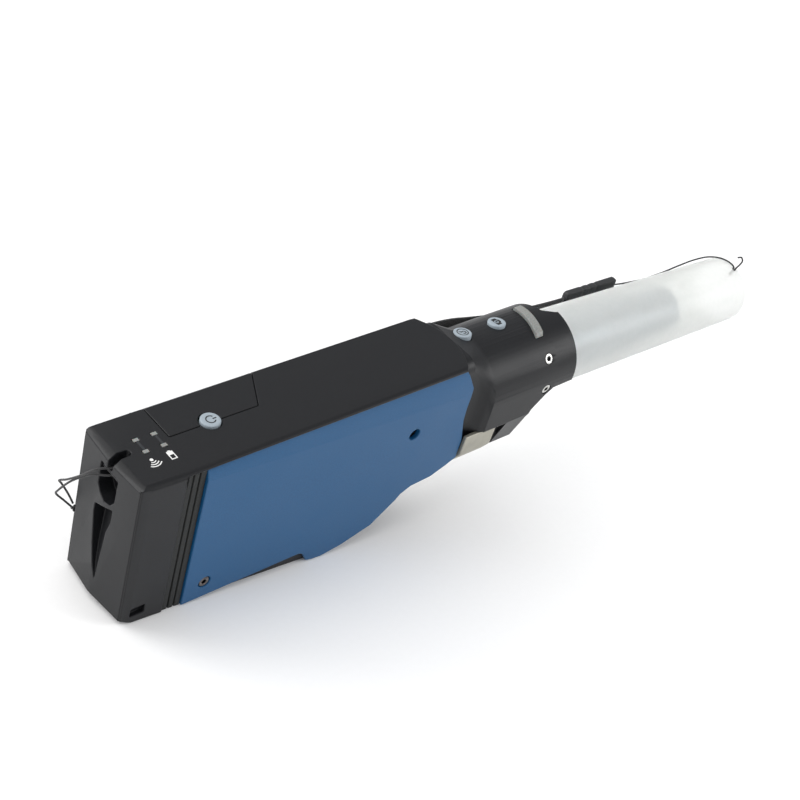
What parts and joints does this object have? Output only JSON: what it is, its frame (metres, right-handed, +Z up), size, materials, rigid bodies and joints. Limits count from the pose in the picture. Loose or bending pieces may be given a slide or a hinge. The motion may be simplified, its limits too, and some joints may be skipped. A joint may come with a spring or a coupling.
{
  "type": "handheld inspection probe",
  "caption": "Cordless handheld inspection probe with blue side panels, round collar, frosted pull-off sleeve over an optical barrel, push buttons, a focus slide and an elastic tether.",
  "frame": {"origin": "centre of the footprint of the body, barrel and sleeve, without the tether, on the surface the flat base stands on", "axes": "+X from the heel towards the sleeve's tip, +Y to the left of someone looking along +X, +Z up from the flat base"},
  "size_m": [0.4382, 0.0537, 0.1186],
  "materials": {
    "black_plastic": "satin",
    "blue_plastic": "satin",
    "seal_rubber": "matte",
    "key_plastic": "matte",
    "light_pipe": "satin",
    "milky_plastic": "satin",
    "satin_metal": "satin",
    "cell_can": "satin",
    "nylon": "matte",
    "circuit_board": "satin",
    "barrel_plastic": "satin",
    "lens_glass": "polished",
    "tether_fibre": "matte",
    "steel": "satin"
  },
  "bodies": {
    "housing": {"main_housing": "black_plastic", "lower_housing": "black_plastic", "rear_gasket": "seal_rubber", "right_side_panel": "blue_plastic", "left_side_panel": "blue_plastic", "nose_housing": "black_plastic", "radio_light_1": "light_pipe", "radio_light_2": "light_pipe", "charge_light_1": "light_pipe", "charge_light_2": "light_pipe", "status_light": "light_pipe", "capture_switch": "steel", "focus_switch": "steel", "tether_bar": "steel", "collar_screw_1": "steel", "collar_screw_2": "steel", "collar_screw_3": "steel", "collar_screw_4": "steel", "right_rear_screw": "steel", "right_front_screw": "steel", "left_front_screw": "steel", "battery_tray": "nylon", "battery_cell_1": "cell_can", "battery_cell_2": "cell_can", "battery_cell_3": "cell_can", "lower_contact": "steel", "upper_contact": "steel", "chassis_plate": "steel", "main_board": "circuit_board", "radio_module": "steel", "status_board": "circuit_board", "power_switch": "steel", "sensor_board": "circuit_board", "heel_loop": "tether_fibre", "heel_knot": "tether_fibre", "tether_webbing": "tether_fibre", "optical_barrel": "barrel_plastic", "barrel_clamp": "barrel_plastic", "illumination_ring": "circuit_board", "front_lens": "lens_glass", "barrel_tip": "barrel_plastic", "sleeve_seal": "seal_rubber"},
    "power_button": {"power_button": "key_plastic"},
    "capture_button": {"capture_button": "key_plastic"},
    "focus_button": {"focus_button": "key_plastic"},
    "focus_control": {"focus_slide": "satin_metal", "lens_carriage": "barrel_plastic", "focus_lens": "lens_glass"},
    "battery_door": {"battery_door": "black_plastic"},
    "sleeve": {"protective_sleeve": "milky_plastic", "tether_clamp": "nylon", "tip_cord": "tether_fibre", "tip_tail": "tether_fibre", "tip_knot": "tether_fibre"}
  },
  "joints": [
    {"name": "power_press", "type": "slide", "parent": "housing", "child": "power_button", "axis": [0.1132, 0, -0.9936], "range_m": [0, 0.0006], "stiffness_N_per_m": 600},
    {"name": "capture_press", "type": "slide", "parent": "housing", "child": "capture_button", "axis": [0.1121, -0.1392, -0.9839], "range_m": [0, 0.0006], "stiffness_N_per_m": 600},
    {"name": "focus_press", "type": "slide", "parent": "housing", "child": "focus_button", "axis": [0.1121, -0.1392, -0.9839], "range_m": [0, 0.0006], "stiffness_N_per_m": 600},
    {"name": "focus_travel", "type": "slide", "parent": "housing", "child": "focus_control", "axis": [0.9936, 0, 0.1132], "range_m": [0, 0.0055]},
    {"name": "door_lift", "type": "slide", "parent": "housing", "child": "battery_door", "axis": [-0.1132, 0, 0.9936], "range_m": [0, 0.03]},
    {"name": "sleeve_pull", "type": "slide", "parent": "housing", "child": "sleeve", "axis": [0.9974, 0, 0.0725], "range_m": [0, 0.05]}
  ]
}
